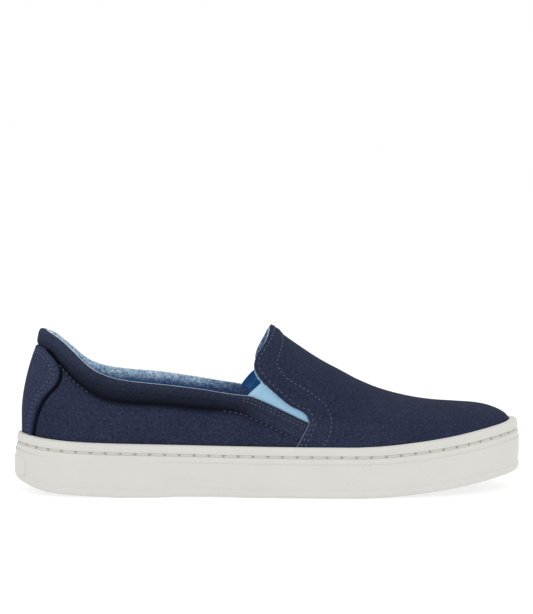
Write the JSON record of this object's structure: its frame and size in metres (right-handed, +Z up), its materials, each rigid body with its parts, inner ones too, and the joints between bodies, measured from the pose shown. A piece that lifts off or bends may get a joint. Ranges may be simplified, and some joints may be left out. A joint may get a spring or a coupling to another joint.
{
  "type": "slip-on sneaker",
  "caption": "Low slip-on sneaker for a right foot: a hollow canvas upper with a padded collar, elastic gussets and a heel counter on a thick rubber cup sole.",
  "frame": {"origin": "on the floor, under the middle of the shoe's length and width", "axes": "+X from the heel to the toe, +Y to the inner side of the foot, +Z up from the floor"},
  "size_m": [0.2708, 0.0962, 0.087],
  "materials": {
    "rubber": "smooth moulded, low sheen",
    "footbed": "brushed terry",
    "canvas": "fine woven canvas, matt",
    "collar_canvas": "fine woven canvas over foam, matt",
    "counter_canvas": "fine woven canvas, slight sheen",
    "elastic": "ribbed elastic webbing",
    "lining": "melange terry",
    "thread": "sewing thread"
  },
  "bodies": {
    "root": {"outsole": "rubber", "insole": "footbed", "upper": "canvas", "collar": "collar_canvas", "heel_counter": "counter_canvas", "gore_outer": "elastic", "gore_inner": "elastic"}
  },
  "joints": []
}
